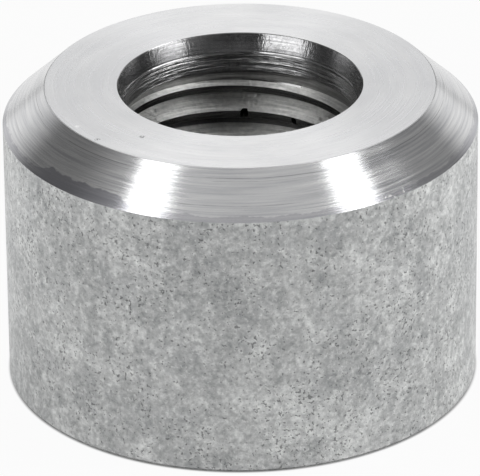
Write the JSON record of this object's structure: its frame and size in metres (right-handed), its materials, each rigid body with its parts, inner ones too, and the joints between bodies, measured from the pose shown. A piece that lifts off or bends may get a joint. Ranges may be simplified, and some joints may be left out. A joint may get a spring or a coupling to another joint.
{
  "type": "weld bung",
  "caption": "Round threaded steel boss with a chamfered weld end, welded round a hole to take a screwed sensor, fitting or plug.",
  "frame": {"origin": "centre of the flat end that the bung stands on", "axes": "+Z along the bore axis, towards the chamfered end"},
  "size_m": [0.025, 0.025, 0.0164],
  "materials": {
    "turned_steel": "turned bright on the chamfer, ends and bore, dull mottled bar surface on the side"
  },
  "bodies": {
    "root": {"bung": "turned_steel"}
  },
  "joints": []
}
